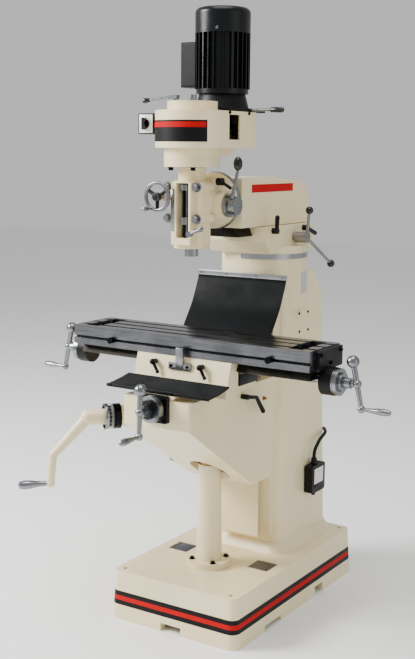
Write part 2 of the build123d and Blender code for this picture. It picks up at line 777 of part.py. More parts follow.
def cut_head(body):
    body -= rod_z(quill_radius + run_clear, head_bottom - 1, quill_top + 6, 0, spindle_y)
    body -= rod_z(30, quill_top, head_top + 1, 0, spindle_y)
    body -= block(-10, 36, pad_front - 1, spindle_y - quill_radius + 14, 1312, 1484)
    body -= rod_x(10 + run_clear, -20, 97, feed_hub_y, feed_hub_z)
    body -= rod_x(feed_pinion_radius + 1, -14, 14, feed_hub_y, feed_hub_z)
    body -= rod_x(selector_pivot + run_clear, 30, 71, selector_y, selector_z)
    return body - rod_y(8 + run_clear, wheel_y - 1, spindle_y - 30, wheel_x, wheel_z)


def make_gear_housing():
    body = rod_z(gear_radius, gear_bottom, belt_bottom, 0, spindle_y)
    body += prism_x([(spindle_y, belt_bottom - 30), (spindle_y + 112, belt_bottom - 22), (spindle_y + 150,
        belt_bottom),
                     (spindle_y, belt_bottom)], -70, 70)
    return body - rod_z(gear_radius - 14, gear_bottom + 14, belt_bottom + 1, 0, spindle_y) - rod_z(
        34, gear_bottom - 1, belt_bottom, 0, spindle_y)


def belt_outline(shrink, front_radius):
    half = belt_half_width - shrink
    radius = front_radius - shrink
    back_y = motor_y + 20
    front = spindle_y - (radius ** 2 - half ** 2) ** 0.5
    rear_radius = half
    arc = ThreePointArc((half, front, 0), (0, spindle_y - radius, 0), (-half, front, 0))
    left = Line((-half, front, 0), (-half, back_y, 0))
    rear = ThreePointArc((-half, back_y, 0), (0, back_y + rear_radius * 0.72, 0), (half, back_y, 0))
    right = Line((half, back_y, 0), (half, front, 0))
    return make_face(Curve() + [arc, left, rear, right])


def make_belt_housing():
    outer = Pos(0, 0, belt_bottom) * extrude(belt_outline(0, belt_front_radius), belt_top - belt_bottom)
    inner = Pos(0, 0, belt_bottom + belt_wall) * extrude(
        belt_outline(belt_wall, belt_front_radius), belt_top - belt_bottom - 2 * belt_wall)
    body = outer - inner
    body += rod_z(cap_radius, belt_top - 1, cap_top, 0, spindle_y)
    body -= rod_z(cap_radius - belt_wall, belt_top - belt_wall - 1, cap_top - belt_wall, 0, spindle_y)
    body -= rod_z(18, belt_bottom, cap_top + 1, 0, spindle_y)
    body -= rod_z(80, belt_bottom - 1, belt_bottom + belt_wall + 1, 0, spindle_y)
    body -= block(-46, 46, motor_y - 60, motor_y + 60, belt_top - belt_wall - 1, belt_top + 1)
    body -= block(belt_half_width - 8, belt_half_width + 1, -283, -218, 1620, 1698)
    return body


def make_head_switch():
    box = block(-192, -132, -345, -296, 1636, 1702)
    box = fillet(box.edges().filter_by(Axis.Y), 4)
    return box + block(-133, -belt_half_width - 0.1, -330, -310, 1655, 1685)


def make_switch_knob():
    y = -345 - air_gap
    return rod_y(15, y - 5, y, -162, 1669) + prism_z([(-168, y - 17), (-156, y - 17), (-156, y - 4),
        (-168, y - 4)],
                                                     1650, 1688)


def make_brake_lever():
    x, y = -30.0, -370.0
    hub = rod_z(9, cap_top + air_gap, cap_top + 8, x, y)
    hub += block(x - 16, x + 10, y - 9, y + 9, cap_top + 6, cap_top + 18)
    tip = (x - 96, y - 8, cap_top + 4)
    lever = strut((x - 10, y, cap_top + 12), tip, 4.5, 4.0)
    return hub + lever + strut(tip, (x - 118, y - 10, cap_top + 1), 6.5, 6.5)


def make_feed_lever():
    gear = rod_x(feed_pinion_radius, -12, 12, feed_hub_y, feed_hub_z)
    gear = cut_teeth_straight(gear, (-12, feed_hub_y, feed_hub_z), (1, 0, 0), feed_pinion_radius, 24,
                              feed_pinion_teeth, 3.5)
    hub = gear + rod_x(10, -12, 124, feed_hub_y, feed_hub_z)
    hub += rod_x(38, 96 + air_gap, 110, feed_hub_y, feed_hub_z) + rod_x(30, 110, 134, feed_hub_y,
        feed_hub_z)
    tip = (140, feed_hub_y - 12, feed_hub_z + 112)
    lever = strut((122, feed_hub_y - 16, feed_hub_z + 22), tip, 7.0, 5.0)
    knob = Pos(tip[0], tip[1], tip[2] + 20) * scale(Sphere(14), by=(1.0, 1.0, 1.55))
    return hub + lever + knob


def make_handwheel():
    y = wheel_y - 6
    wheel = rod_y(13, y - 12, wheel_y + 14, wheel_x, wheel_z) + rod_y(8, wheel_y, spindle_y - 31, wheel_x,
        wheel_z)
    for i in range(3):
        angle = radians(30 + 120 * i)
        end = (wheel_x + (wheel_radius - 8) * cos(angle), y, wheel_z + (wheel_radius - 8) * sin(angle))
        wheel += strut((wheel_x, y, wheel_z), end, 6, 5)
    rim = rod_y(wheel_radius, y - 6, y + 6, wheel_x, wheel_z) - rod_y(wheel_radius - 12, y - 7, y + 7,
        wheel_x, wheel_z)
    wheel += fillet(rim.edges(), 4.5)
    pin = radians(-118)
    grip_at = (wheel_x + (wheel_radius - 6) * cos(pin), y, wheel_z + (wheel_radius - 6) * sin(pin))
    grip = Plane(origin=grip_at, z_dir=(0, -1, 0)).location * (Pos(0, 0, 5) * turned_grip(44, 7.5, 4.0))
    return wheel + grip


def make_depth_screw():
    return rod_z(depth_screw_radius, 1312, 1484, depth_x, depth_y + 14)


def make_quill_stop():
    y = depth_y + 14
    stop = rod_z(13, 1461, 1479, depth_x, y) + block(depth_x - 6, depth_x + 6, y,
        spindle_y - quill_radius + 4, 1462, 1478)
    return stop - rod_z(depth_screw_radius + slide_clear, 1400, 1500, depth_x, y) - rod_z(
        quill_radius, 1400, 1500, 0, spindle_y)


def make_depth_nut():
    y = depth_y + 14
    nut = rod_z(12, 1354, 1377, depth_x, y)
    return nut - rod_z(depth_screw_radius + run_clear, 1300, 1400, depth_x, y)


def make_quill_lock():
    y = pad_front - air_gap
    hub = rod_y(9, y - 16, y, 46, 1326)
    tip = (94, y - 16, 1345)
    return hub + strut((46, y - 10, 1326), tip, 4.5, 6.0) + ball(8.5, tip)


def make_feed_selector():
    x = 71.0
    pivot = rod_x(selector_pivot, x - 40, x + 20, selector_y, selector_z)
    hub = rod_x(12, x - 0.5, x + 20, selector_y, selector_z)
    lever = strut((x + 14, selector_y, selector_z), (x + 40, selector_y + 19, selector_z - 22), 5, 5)
    return pivot + hub + lever


# ---- quill and spindle ----

def make_quill():
    body = rod_z(quill_radius, quill_bottom, quill_top, 0, spindle_y)
    pitch = 2 * pi * feed_pinion_radius / feed_pinion_teeth
    y = spindle_y + quill_radius
    grooves = [block(-12, 12, y - 3.5, y + 1, feed_hub_z - 30 + i * pitch,
        feed_hub_z - 30 + (i + 0.5) * pitch)
               for i in range(int(90 / pitch))]
    body -= grooves
    return body - rod_z(spindle_radius + run_clear, quill_bottom - 1, quill_top + 1, 0, spindle_y)


def make_spindle():
    body = rod_z(spindle_radius, nose_bottom + 10, quill_top + 4, 0, spindle_y)
    body += rod_z(nose_radius, nose_bottom, quill_bottom - air_gap, 0, spindle_y)
    body += rod_z(15, quill_top, cap_top - 10, 0, spindle_y)
    body -= rod_z(taper_bore, nose_bottom - 1, nose_bottom + 60, 0, spindle_y)
    body -= rod_z(8.2, nose_bottom, cap_top + 1, 0, spindle_y)
    return body


def make_drawbar():
    bar = rod_z(8, nose_bottom + 70, cap_top + 4, 0, spindle_y)
    return bar + rod_z(13, cap_top - 10 + 0.2, cap_top + 21, 0, spindle_y)


def pulley(x_y, bottom, radii, step, bore):
    x, y = x_y
    body = None
    for i, radius in enumerate(radii):
        z = bottom + i * step
        disc = rod_z(radius, z, z + step, x, y)
        groove = rod_z(radius + 1, z + 5, z + step - 5, x, y) - rod_z(radius - 7, z + 4, z + step - 4, x, y)
        disc = disc - groove
        body = disc if body is None else body + disc
    return body - rod_z(bore, bottom - 1, bottom + len(radii) * step + 1, x, y)


def make_spindle_pulley():
    return pulley((0, spindle_y), 1612, (46, 58, 70, 82), 20, 15 + slide_clear)


def make_motor_pulley():
    body = pulley((0, motor_y), 1612, (72, 60, 48, 36), 20, 11.9)
    return body + rod_z(12, 1604, motor_bottom - 4, 0, motor_y)


def belt_loop(big, small):
    # Closed loop around two circles on the spindle and motor axes, joined by their outer tangents.
    span = motor_y - spindle_y
    c = (big - small) / span
    n = (1 - c * c) ** 0.5
    start = (big * n, spindle_y + big * c, 0)
    end = (small * n, motor_y + small * c, 0)
    front = ThreePointArc(start, (0, spindle_y - big, 0), (-start[0], start[1], 0))
    rear = ThreePointArc((-end[0], end[1], 0), (0, motor_y + small, 0), end)
    sides = [Line((-start[0], start[1], 0), (-end[0], end[1], 0)), Line(end, start)]
    return make_face(Curve() + [front, sides[0], rear, sides[1]])


def make_drive_belt():
    z = 1612 + 2 * 20 + 5.5
    loop = belt_loop(69.0, 47.0) - belt_loop(64.0, 42.0)
    return Pos(0, 0, z) * extrude(loop, 9)


# ---- motor ----

def make_motor_mount():
    plate = block(-100, 112, motor_y - 92, motor_y + 104, belt_top + slide_clear, belt_top + 12)
    plate = fillet(plate.edges().filter_by(Axis.Z), 20)
    cone = Pos(0, motor_y, (belt_top + 12 + motor_bottom) / 2) * Cone(
        motor_radius, motor_radius - 12, motor_bottom - belt_top - 12)
    body = plate + cone - rod_z(cap_radius + tension_travel + 2, belt_top - 1, cap_top + 5, 0, spindle_y)
    body -= rod_x(4.5 + run_clear, 86, 113, motor_y, belt_top + 7)
    return body - rod_z(44, belt_top - 1, motor_bottom + 1, 0, motor_y)


def make_motor_body():
    z0 = motor_bottom + 0.1
    body = rod_z(motor_radius - 2, z0, z0 + 16, 0, motor_y)
    body += rod_z(motor_radius - 10, z0, motor_top, 0, motor_y)
    for i in range(fin_count):
        turn = Pos(0, motor_y, 0) * Rot(0, 0, 360 / fin_count * i)
        body += turn * block(motor_radius - 14, motor_radius + fin_reach, -2, 2, z0 + 16, motor_top)
    return body - rod_z(13, z0 - 1, z0 + 60, 0, motor_y)


def make_fan_cover():
    body = rod_z(motor_radius + fin_reach, motor_top + 0.1, fan_top, 0, motor_y)
    return fillet(body.edges().sort_by(Axis.Z)[-1], 18)


def make_terminal_box():
    box = block(-142, -motor_radius + 22, motor_y - 38, motor_y + 38, 1791, 1937)
    box = fillet(box.edges().filter_by(Axis.X) + box.edges().filter_by(Axis.Z).group_by(Axis.X)[0], 7)
    return box - rod_z(motor_radius + fin_reach + 0.2, 1700, 2000, 0, motor_y)


def make_motor_clamp():
    x = 112.0
    rod = rod_x(4.5, x - 24, x + 90, motor_y, belt_top + 7)
    return rod + rod_x(7, x + 74, x + 118, motor_y, belt_top + 7)


# ---- electrics on the column ----

def column_side():
    return rounded_post(column_bottom_half_width, column_bottom_half_depth, column_corner,
                        0, column_center_y, base_height, column_body_top - base_height, column_lean)


def make_switch_box():
    x = column_bottom_half_width - 5
    box = block(x + 1, x + 34, 190, 290, 352, 455)
    box = fillet(box.edges().filter_by(Axis.X), 10)
    box += rod_z(9, 454, 470, lead_x, lead_y) + rod_z(7, 338, 353, lead_x, lead_y)
    return box + (block(x - 18, x + 2, 205, 275, 370, 440) - column_side())


def make_switch_lead():
    x, y, z = lead_x, lead_y, 470.1
    back = column_center_y + column_bottom_half_depth - 4
    points = [(x, y, z), (x, y, z + 34), (x - 4, y + 48, z + 64), (x - 12, y + 112, z + 78),
              (x - 40, back + 12, z + 80), (x - 82, back + 14, z + 80), (x - 106, back + 2, z + 80)]
    radii = [34, 60, 60, 34, 34]
    path = FilletPolyline(*points, radius=radii)
    return sweep(Plane(origin=points[0]) * Circle(lead_radius), path=path)


def build():
    os.makedirs("parts", exist_ok=True)
    save("base", make_base())
    save("column", make_column())
    save("pedestal", make_pedestal())
    save("elevating_nut", make_lift_nut())
    save("elevating_screw", make_lift_screw())
    save("knee", make_knee())
    save("knee_shaft", make_knee_shaft())
    save("knee_dial", make_knee_dial())
    save("knee_crank", make_knee_crank())
    save("knee_grip", make_knee_grip())
    save("knee_lock_lever", make_knee_lock())
    save("cross_bracket", make_cross_bracket())
    save("cross_screw", make_cross_screw())
    save("cross_dial", make_cross_dial())
    save("cross_crank", make_cross_crank())
    save("saddle", make_saddle())
    save("feed_nuts", make_feed_nuts())
    save("table_lock_left", make_table_lock(-101))
    save("table_lock_right", make_table_lock(82))
    save("table", make_table())
    save("end_brackets", make_end_brackets())
    save("stop_left", make_table_stop(-293))
    save("stop_right", make_table_stop(319))
    save("table_screw", make_table_screw())
    save("table_dials", make_table_dials())
    save("table_cranks", make_table_cranks())
    save("front_cover", make_front_cover())
    save("rear_cover", make_rear_cover())
    save("turret", make_turret())
    save("ram", make_ram())
    save("ram_adapter", make_adapter())
    save("ram_pinion_lever", make_pinion_lever())
    save("ram_lock_front", make_ram_lock(2, 1318, 0, 3, 46))
    save("ram_lock_rear", make_ram_lock(222, 1318, 0, 62, -22))
    save("head_casting", make_head())
    save("gear_housing", make_gear_housing())
    save("belt_housing", make_belt_housing())
    save("head_switch", make_head_switch())
    save("switch_knob", make_switch_knob())
    save("brake_lever", make_brake_lever())
    save("feed_lever", make_feed_lever())
    save("fine_feed_wheel", make_handwheel())
    save("depth_screw", make_depth_screw())
    save("depth_nut", make_depth_nut())
    save("quill_lock_lever", make_quill_lock())
    save("feed_selector", make_feed_selector())
    save("quill", make_quill())
    save("quill_stop", make_quill_stop())
    save("spindle", make_spindle())
    save("drawbar", make_drawbar())
    save("spindle_pulley", make_spindle_pulley())
    save("motor_pulley", make_motor_pulley())
    save("drive_belt", make_drive_belt())
    save("motor_mount", make_motor_mount())
    save("motor_body", make_motor_body())
    save("fan_cover", make_fan_cover())
    save("terminal_box", make_terminal_box())
    save("motor_clamp", make_motor_clamp())
    save("switch_box", make_switch_box())
    save("switch_lead", make_switch_lead())


build()
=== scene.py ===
import math
import bmesh
import bpy
from mathutils import Matrix, Vector


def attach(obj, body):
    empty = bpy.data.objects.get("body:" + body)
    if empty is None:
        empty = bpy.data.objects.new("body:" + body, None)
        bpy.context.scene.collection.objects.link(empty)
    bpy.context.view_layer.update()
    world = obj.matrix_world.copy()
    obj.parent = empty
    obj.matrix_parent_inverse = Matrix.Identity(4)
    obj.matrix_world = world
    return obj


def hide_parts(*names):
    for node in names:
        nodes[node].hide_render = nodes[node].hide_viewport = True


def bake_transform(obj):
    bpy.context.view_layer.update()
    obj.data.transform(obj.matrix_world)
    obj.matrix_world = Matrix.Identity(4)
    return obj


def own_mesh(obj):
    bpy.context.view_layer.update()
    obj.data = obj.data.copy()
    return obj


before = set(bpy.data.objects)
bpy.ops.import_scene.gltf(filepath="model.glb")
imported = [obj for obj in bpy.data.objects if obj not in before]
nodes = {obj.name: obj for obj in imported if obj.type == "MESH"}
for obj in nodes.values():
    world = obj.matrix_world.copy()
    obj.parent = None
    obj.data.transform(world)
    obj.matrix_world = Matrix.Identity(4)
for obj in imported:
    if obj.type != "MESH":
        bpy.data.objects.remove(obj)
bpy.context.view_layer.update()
mm = 0.001
up = Vector((0, 0, 1))
right = Vector((1, 0, 0))
front = Vector((0, -1, 0))
print("frame loaded:", len(nodes), "nodes")


# Colour and material helpers

def hexColor(code):
    values = [int(code[i:i + 2], 16) / 255 for i in (1, 3, 5)]
    linear = [v / 12.92 if v <= 0.04045 else ((v + 0.055) / 1.055) ** 2.4 for v in values]
    return (*linear, 1.0)


def addNode(tree, kind, settings=None, links=None):
    node = tree.nodes.new(kind)
    for name, value in (settings or {}).items():
        if isinstance(name, int) or name in node.inputs:
            node.inputs[name].default_value = value
        else:
            setattr(node, name, value)
    for name, socket in (links or {}).items():
        tree.links.new(socket, node.inputs[name])
    return node


def startMaterial(name, fixed):
    material = bpy.data.materials.new(name)
    material.use_nodes = True
    tree = material.node_tree
    shader = tree.nodes["Principled BSDF"]
    for socket, value in fixed.items():
        shader.inputs[socket].default_value = value
    place = addNode(tree, "ShaderNodeTexCoord").outputs["Object"]
    return material, tree, shader, place


def addRamp(tree, factor, low, high, stops=(0.3, 0.7)):
    ramp = addNode(tree, "ShaderNodeValToRGB", links={"Fac": factor})
    for element, stop, colour in zip(ramp.color_ramp.elements, stops, (low, high)):
        element.position = stop
        element.color = hexColor(colour) if isinstance(colour, str) else (colour, colour, colour, 1.0)
    return ramp.outputs["Color"]


def addBump(tree, shader, height, strength, depthMm):
    bump = addNode(tree, "ShaderNodeBump", {"Strength": strength, "Distance": depthMm * mm},
                   {"Height": height})
    tree.links.new(bump.outputs["Normal"], shader.inputs["Normal"])


# Cast iron filled, sprayed and baked: a soft gloss over a faint orange peel, with hardly any drift of tone.
def makeEnamel(name, light, dark, roughness=(0.30, 0.42), peelMm=3.0, depthMm=0.10, coat=0.35, shine=0.5):
    material, tree, shader, place = startMaterial(name, {
        "IOR": 1.5, "Specular IOR Level": shine, "Coat Weight": coat, "Coat Roughness": 0.12})
    drift = addNode(tree, "ShaderNodeTexNoise", {"Scale": 1000 / 240, "Detail": 4.0}, {"Vector": place})
    peel = addNode(tree, "ShaderNodeTexNoise", {"Scale": 1000 / peelMm, "Detail": 2.0}, {"Vector": place})
    filler = addNode(tree, "ShaderNodeTexNoise", {"Scale": 1000 / 60, "Detail": 1.0}, {"Vector": place})
    both = addNode(tree, "ShaderNodeMath", {"operation": "ADD"},
                   {0: peel.outputs["Fac"], 1: filler.outputs["Fac"]})
    tree.links.new(addRamp(tree, drift.outputs["Fac"], dark, light), shader.inputs["Base Color"])
    tree.links.new(addRamp(tree, filler.outputs["Fac"], roughness[0], roughness[1]),
                   shader.inputs["Roughness"])
    addBump(tree, shader, both.outputs["Value"], 0.35, depthMm)
    return material


# Bare metal with the marks of its last cut: streaks that run along the given direction.
def makeMetal(name, light, dark, roughness, streakMm, depthMm=0.02, strength=0.3):
    material, tree, shader, place = startMaterial(name, {"Metallic": 1.0})
    stretch = tuple(1000 / size for size in streakMm)
    mapped = addNode(tree, "ShaderNodeMapping", {"Scale": stretch}, {"Vector": place})
    streak = addNode(tree, "ShaderNodeTexNoise", {"Scale": 1.0, "Detail": 3.0},
                     {"Vector": mapped.outputs["Vector"]})
    patch = addNode(tree, "ShaderNodeTexNoise", {"Scale": 1000 / 90, "Detail": 3.0}, {"Vector": place})
    mix = addNode(tree, "ShaderNodeMath", {"operation": "MULTIPLY"},
                  {0: streak.outputs["Fac"], 1: patch.outputs["Fac"]})
    tree.links.new(addRamp(tree, mix.outputs["Value"], dark, light, (0.15, 0.38)),
                   shader.inputs["Base Color"])
    tree.links.new(addRamp(tree, streak.outputs["Fac"], roughness[0], roughness[1]),
                   shader.inputs["Roughness"])
    addBump(tree, shader, streak.outputs["Fac"], strength, depthMm)
    return material


# Moulded plastic and rubber: dark, with a fine grain that breaks up the shine.
def makeMoulded(name, light, dark, roughness, grainMm, depthMm=0.05, strength=0.3, shine=0.5):
    material, tree, shader, place = startMaterial(name, {"IOR": 1.5, "Specular IOR Level": shine})
    grain = addNode(tree, "ShaderNodeTexNoise", {"Scale": 1000 / grainMm, "Detail": 2.0}, {"Vector": place})
    wipe = addNode(tree, "ShaderNodeTexNoise", {"Scale": 1000 / 70, "Detail": 3.0}, {"Vector": place})
    tree.links.new(addRamp(tree, wipe.outputs["Fac"], dark, light), shader.inputs["Base Color"])
    tree.links.new(addRamp(tree, wipe.outputs["Fac"], roughness[0], roughness[1]), shader.inputs["Roughness"])
    addBump(tree, shader, grain.outputs["Fac"], strength, depthMm)
    return material


finishes = {
    "creamEnamel": makeEnamel("creamEnamel", "#ECDDB2", "#E6D6A9"),
    "blackEnamel": makeEnamel("blackEnamel", "#08090A", "#050506", (0.42, 0.54), 2.0, 0.04, 0.0, 0.2),
    "motorEnamel": makeEnamel("motorEnamel", "#070A0D", "#040608", (0.26, 0.36), 1.5, 0.04, 0.0, 0.25),
    "groundIron": makeMetal("groundIron", "#7E7F82", "#5E5F63", (0.22, 0.34), (120, 1.2, 1.2), 0.02),
    # Bare iron darkened to near black: painted shade for the way undercuts beneath the table and the ram.
    "bareIronPaintedShade": makeMetal("bareIronPaintedShade", "#2A2824", "#1B1A17", (0.30, 0.45), (60, 2.0, 2.0), 0.03),
    "satinChrome": makeMetal("satinChrome", "#8F9195", "#7C7F83", (0.22, 0.30), (2.5, 2.5, 2.5), 0.004, 0.06),
    "turnedSteel": makeMetal("turnedSteel", "#97989B", "#7C7E82", (0.26, 0.36), (1.2, 1.2, 1.2), 0.006, 0.1),
    "blackedSteel": makeMetal("blackedSteel", "#1B1C1F", "#101113", (0.32, 0.42), (1.5, 1.5, 1.5), 0.02, 0.2),
    "castBronze": makeMetal("castBronze", "#B08A4A", "#8C6A34", (0.30, 0.42), (2.0, 2.0, 2.0), 0.03, 0.3),
    "pulleyAlloy": makeMetal("pulleyAlloy", "#B9BABC", "#9FA1A4", (0.28, 0.40), (1.5, 1.5, 1.5), 0.02, 0.2),
    "blackPhenolic": makeMoulded("blackPhenolic", "#060607", "#030304", (0.18, 0.28), 2.5, 0.03, 0.15),
    "blackRubber": makeMoulded("blackRubber", "#07090B", "#040507", (0.42, 0.58), 1.6, 0.10, 0.4, 0.25),
    "sheetRubber": makeMoulded("sheetRubber", "#020406", "#010203", (0.36, 0.50), 2.2, 0.08, 0.3, 0.05),
    "redVinyl": makeMoulded("redVinyl", "#B8000C", "#AE0009", (0.5, 0.6), 2.0, 0.02, 0.1, 0.1),
    "blackVinyl": makeMoulded("blackVinyl", "#050506", "#030304", (0.45, 0.55), 2.0, 0.02, 0.1, 0.2),
    "greyLabel": makeMoulded("greyLabel", "#B9BBBC", "#A9ACAE", (0.30, 0.40), 2.0, 0.02, 0.1),
    "whiteLabel": makeMoulded("whiteLabel", "#E3E2DC", "#D8D7D0", (0.30, 0.40), 2.0, 0.02, 0.1),
    "brushedAluminium": makeMetal("brushedAluminium", "#A9AAAC", "#929395", (0.24, 0.34), (60, 1.0, 1.0),
                                  0.01, 0.2),
    "darkScreen": makeMetal("darkScreen", "#4A4C48", "#2A2C2A", (0.45, 0.6), (2.0, 2.0, 2.0), 0.05, 0.4),
}
print("materials made:", len(finishes))

finishOfNode = {
    "creamEnamel": ["base", "column", "pedestal", "knee", "saddle", "turret", "ram", "head_casting",
                    "gear_housing", "belt_housing", "knee_crank"],
    "blackEnamel": ["terminal_box", "cross_bracket", "end_brackets", "motor_mount", "head_switch",
                    "switch_box", "table_lock_left", "table_lock_right", "ram_lock_front",
                    "ram_lock_rear", "feed_selector", "knee_lock_lever"],
    "motorEnamel": ["motor_body", "fan_cover"],
    "groundIron": ["table"],
    "satinChrome": ["cross_dial", "cross_crank", "table_dials", "table_cranks", "feed_lever", "ram_adapter",
                    "quill", "quill_lock_lever", "brake_lever", "knee_grip", "fine_feed_wheel"],
    "turnedSteel": ["elevating_screw", "knee_shaft", "cross_screw", "table_screw", "depth_nut", "quill_stop",
                    "spindle", "drawbar", "ram_pinion_lever", "motor_clamp"],
    "blackedSteel": ["stop_left", "stop_right", "depth_screw", "knee_dial"],
    "castBronze": ["elevating_nut", "feed_nuts"],
    "pulleyAlloy": ["spindle_pulley", "motor_pulley"],
    "blackPhenolic": ["switch_knob"],
    "blackRubber": ["drive_belt", "switch_lead", "front_cover", "rear_cover"],
}
for finish, names in finishOfNode.items():
    for name in names:
        nodes[name].material_slots[0].material = finishes[finish]


# The camera and the light

cameraLook = {
    "place": (1.9546, -3.2583, 1.5820),
    "heading": 32.74,        # degrees from +Y towards -X
    "drop": 9.21,            # degrees below level
    "roll": 0.53,
    "lens": 59.92,
}
studioLook = {
    "key": 430.0,            # watts
    "fill": 18.0,
    "top": 110.0,
    "sky": "#FFFFFF",
    "skyStrength": 0.62,
    "floor": "#F6F6F5",
}


def makeCamera(look):
    data = bpy.data.cameras.new("camera")
    data.lens = look["lens"]
    data.sensor_width = 36.0
    camera = bpy.data.objects.new("camera", data)
    bpy.context.scene.collection.objects.link(camera)
    turn = Matrix.Rotation(math.radians(look["heading"]), 4, "Z") @ Matrix.Rotation(
        math.radians(90 - look["drop"]), 4, "X") @ Matrix.Rotation(math.radians(look["roll"]), 4, "Z")
    camera.matrix_world = Matrix.Translation(look["place"]) @ turn
    bpy.context.scene.camera = camera


def makeLamp(name, place, target, size, power):
    data = bpy.data.lights.new(name, "AREA")
    data.size = size
    data.energy = power
    lamp = bpy.data.objects.new(name, data)
    bpy.context.scene.collection.objects.link(lamp)
    lamp.location = place
    lamp.rotation_euler = (Vector(target) - Vector(place)).to_track_quat("-Z", "Y").to_euler()


def makeStudio(look):
    world = bpy.data.worlds.new("studio")
    bpy.context.scene.world = world
    world.use_nodes = True
    background = world.node_tree.nodes["Background"]
    background.inputs["Color"].default_value = hexColor(look["sky"])
    background.inputs["Strength"].default_value = look["skyStrength"]
    makeLamp("keyLight", (-3.3, -2.6, 3.3), (0, -0.1, 1.0), 1.8, look["key"])
    makeLamp("fillLight", (4.0, -0.6, 1.6), (0, 0, 1.0), 2.2, look["fill"])
    makeLamp("topLight", (0.3, -0.8, 4.6), (0, 0, 0.8), 2.4, look["top"])
    mesh = bmesh.new()
    bmesh.ops.create_grid(mesh, x_segments=1, y_segments=1, size=14.0)
    data = bpy.data.meshes.new("floor")
    mesh.to_mesh(data)
    floor = bpy.data.objects.new("floor", data)
    bpy.context.scene.collection.objects.link(floor)
    paper, tree, shader, place = startMaterial("floorPaper", {"Roughness": 0.9})
    fibre = addNode(tree, "ShaderNodeTexNoise", {"Scale": 3.0}, {"Vector": place})
    tree.links.new(addRamp(tree, fibre.outputs["Fac"], look["floor"], look["floor"]),
                   shader.inputs["Base Color"])
    data.materials.append(paper)


makeCamera(cameraLook)
makeStudio(studioLook)
print("camera and light placed")


# Mesh helpers: each takes millimetres and works in a bmesh in metres

def finishPiece(name, mesh, finish, body, smoothAngle=35):
    bmesh.ops.remove_doubles(mesh, verts=mesh.verts, dist=1e-6)
    bmesh.ops.recalc_face_normals(mesh, faces=mesh.faces)
    data = bpy.data.meshes.new(name)
    mesh.to_mesh(data)
    mesh.free()
    data.materials.append(finishes[finish])
    data.polygons.foreach_set("use_smooth", [True] * len(data.polygons))
    data.set_sharp_from_angle(angle=math.radians(smoothAngle))
    piece = bpy.data.objects.new(name, data)
    bpy.context.scene.collection.objects.link(piece)
    if body:
        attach(piece, body)
    return piece


def softenEdges(mesh, edges, width, segments=2):
    bmesh.ops.bevel(mesh, geom=edges, offset=width * mm, affect="EDGES", segments=segments, profile=0.5,
                    material=-1, clamp_overlap=True)


def blocksPiece(name, boxes, bevel, finish, body, turn=Matrix.Identity(3)):
    # Each box is (low corner, high corner); turn spins every box about its own middle.
    mesh = bmesh.new()
    for low, high in boxes:
        block = bmesh.new()
        bmesh.ops.create_cube(block, size=1.0)
        low, high = Vector(low) * mm, Vector(high) * mm
        bmesh.ops.scale(block, vec=high - low, verts=block.verts)
        if bevel:
            softenEdges(block, block.edges[:], bevel)
        bmesh.ops.rotate(block, cent=(0, 0, 0), matrix=turn, verts=block.verts)
        bmesh.ops.translate(block, vec=(low + high) / 2, verts=block.verts)
        data = bpy.data.meshes.new("block")
        block.to_mesh(data)
        block.free()
        mesh.from_mesh(data)
        bpy.data.meshes.remove(data)
    return finishPiece(name, mesh, finish, body)


def blockPiece(name, low, high, bevel, finish, body, turn=Matrix.Identity(3)):
    return blocksPiece(name, [(low, high)], bevel, finish, body, turn)


def dialTicks(name, centre, axis, radius, low, high, count, finish, body, span=(0, 360), longEvery=5,
              width=0.5):
    # Raised graduation lines across a drum: low and high are distances along the axis from centre.
    mesh = bmesh.new()
    frameTurn = Vector(axis).normalized().to_track_quat("Z", "Y").to_matrix()
    for i in range(count):
        reach = high if i % longEvery == 0 else low + (high - low) * 0.55
        angle = math.radians(span[0] + (span[1] - span[0]) * i / count)
        made = bmesh.ops.create_cube(mesh, size=1.0)["verts"]
        bmesh.ops.scale(mesh, vec=Vector((0.4, width, reach - low)) * mm, verts=made)
        bmesh.ops.translate(mesh, vec=Vector((radius, 0, (low + reach) / 2)) * mm, verts=made)
        bmesh.ops.rotate(mesh, cent=(0, 0, 0), matrix=Matrix.Rotation(angle, 3, "Z"), verts=made)
        bmesh.ops.rotate(mesh, cent=(0, 0, 0), matrix=frameTurn, verts=made)
        bmesh.ops.translate(mesh, vec=Vector(centre) * mm, verts=made)
    return finishPiece(name, mesh, finish, body)


def turnOutline(mesh, outline, place, direction, steps=40):
    # Spins an outline of (radius, height) points in millimetres about the direction through place.
    made = [mesh.verts.new((r * mm, 0, h * mm)) for r, h in outline]
    edges = [mesh.edges.new(pair) for pair in zip(made[:-1], made[1:])]
    spun = bmesh.ops.spin(mesh, geom=made + edges, cent=(0, 0, 0), axis=(0, 0, 1), angle=math.tau,
                          steps=steps, use_merge=True, use_duplicate=False)
    found = list({v for e in spun["geom_last"] for v in (e.verts if hasattr(e, "verts") else [e])}
                 | set(made) | {v for v in mesh.verts if not v.tag})
    turn = Vector(direction).normalized().to_track_quat("Z", "Y").to_matrix()
    bmesh.ops.rotate(mesh, cent=(0, 0, 0), matrix=turn, verts=found)
    bmesh.ops.translate(mesh, vec=Vector(place) * mm, verts=found)
    for vert in mesh.verts:
        vert.tag = True


def turnedPiece(name, outline, place, direction, finish, body, steps=40, smoothAngle=35):
    mesh = bmesh.new()
    turnOutline(mesh, outline, place, direction, steps)
    return finishPiece(name, mesh, finish, body, smoothAngle)


